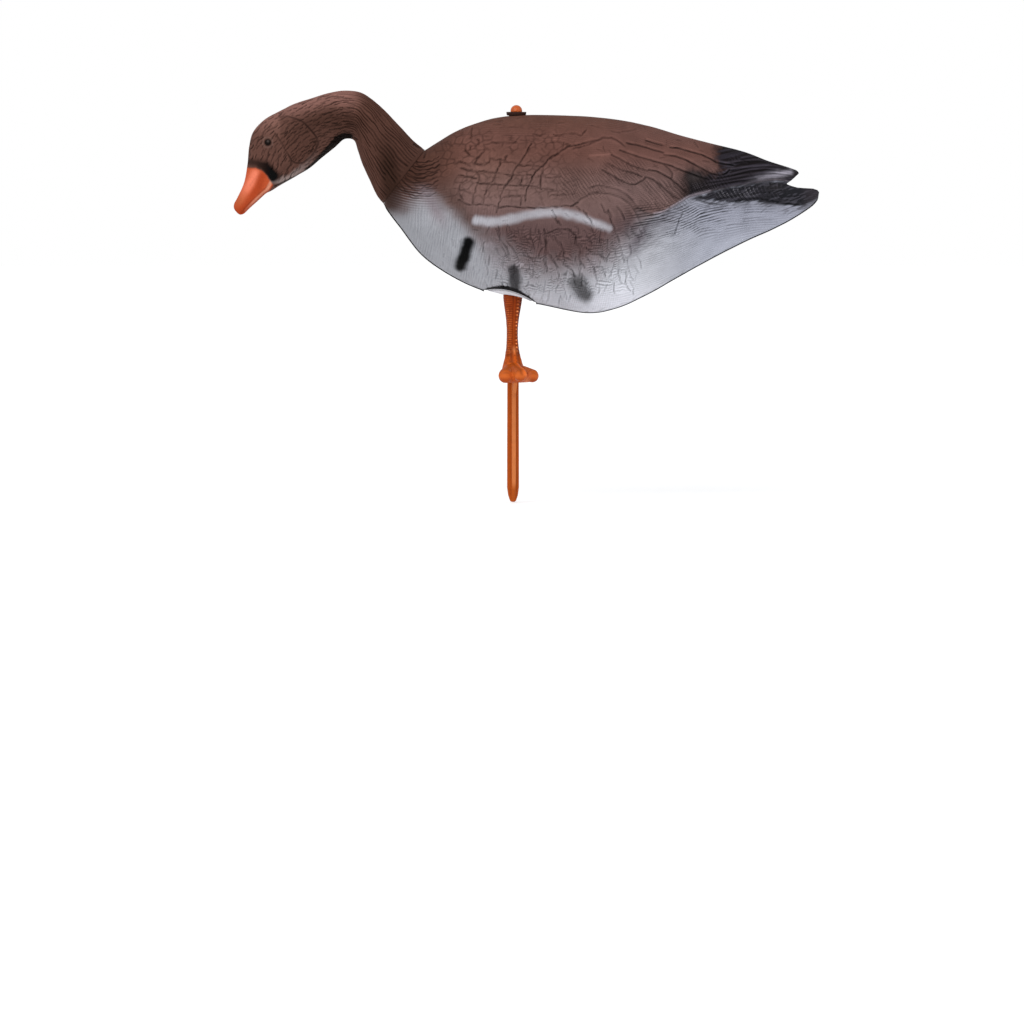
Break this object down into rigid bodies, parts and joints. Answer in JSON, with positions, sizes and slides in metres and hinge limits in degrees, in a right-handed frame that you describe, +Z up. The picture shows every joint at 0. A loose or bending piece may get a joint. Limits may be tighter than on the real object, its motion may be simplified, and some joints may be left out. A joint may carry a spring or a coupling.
{
  "type": "goose decoy",
  "caption": "Full-body foam goose decoy in a feeding pose, turning on a leg, foot and ground spike, with a head that pulls out.",
  "frame": {"origin": "on the ground spike's axis at the sole of the foot, where the ground surface is when it is staked", "axes": "+Z up; the bill points to -X and the tail to +X; the toes point to -Y, turned 9 degrees towards +X"},
  "size_m": [0.705, 0.194, 0.494],
  "materials": {
    "painted_foam": "matt painted closed-cell foam",
    "painted_foam_head": "matt painted closed-cell foam",
    "bare_foam": "matt bare foam",
    "pale_foam": "matt pale foam",
    "dark_rubber": "satin dark brown",
    "grey_plastic": "matt",
    "orange_rod": "satin",
    "orange_gloss": "gloss",
    "orange_leg": "satin to gloss, moulded scales"
  },
  "bodies": {
    "stake": {"leg_stake": "orange_leg", "support_rod": "orange_rod", "ball_knob": "orange_gloss"},
    "body": {"body_shell_left": "painted_foam", "body_shell_right": "painted_foam", "back_eyelet": "dark_rubber", "eyelet_washer": "grey_plastic", "belly_insert": "pale_foam"},
    "head": {"head_shell_left": "painted_foam_head", "head_shell_right": "painted_foam_head", "neck_plug": "bare_foam"}
  },
  "joints": [
    {"name": "body_swivel", "type": "hinge", "parent": "stake", "child": "body", "pos_m": [0.004, 0, 0.312], "axis": [0, 0, 1], "continuous": true},
    {"name": "head_pull", "type": "slide", "parent": "body", "child": "head", "axis": [-0.7837, 0, 0.6212], "range_m": [0, 0.06]}
  ]
}
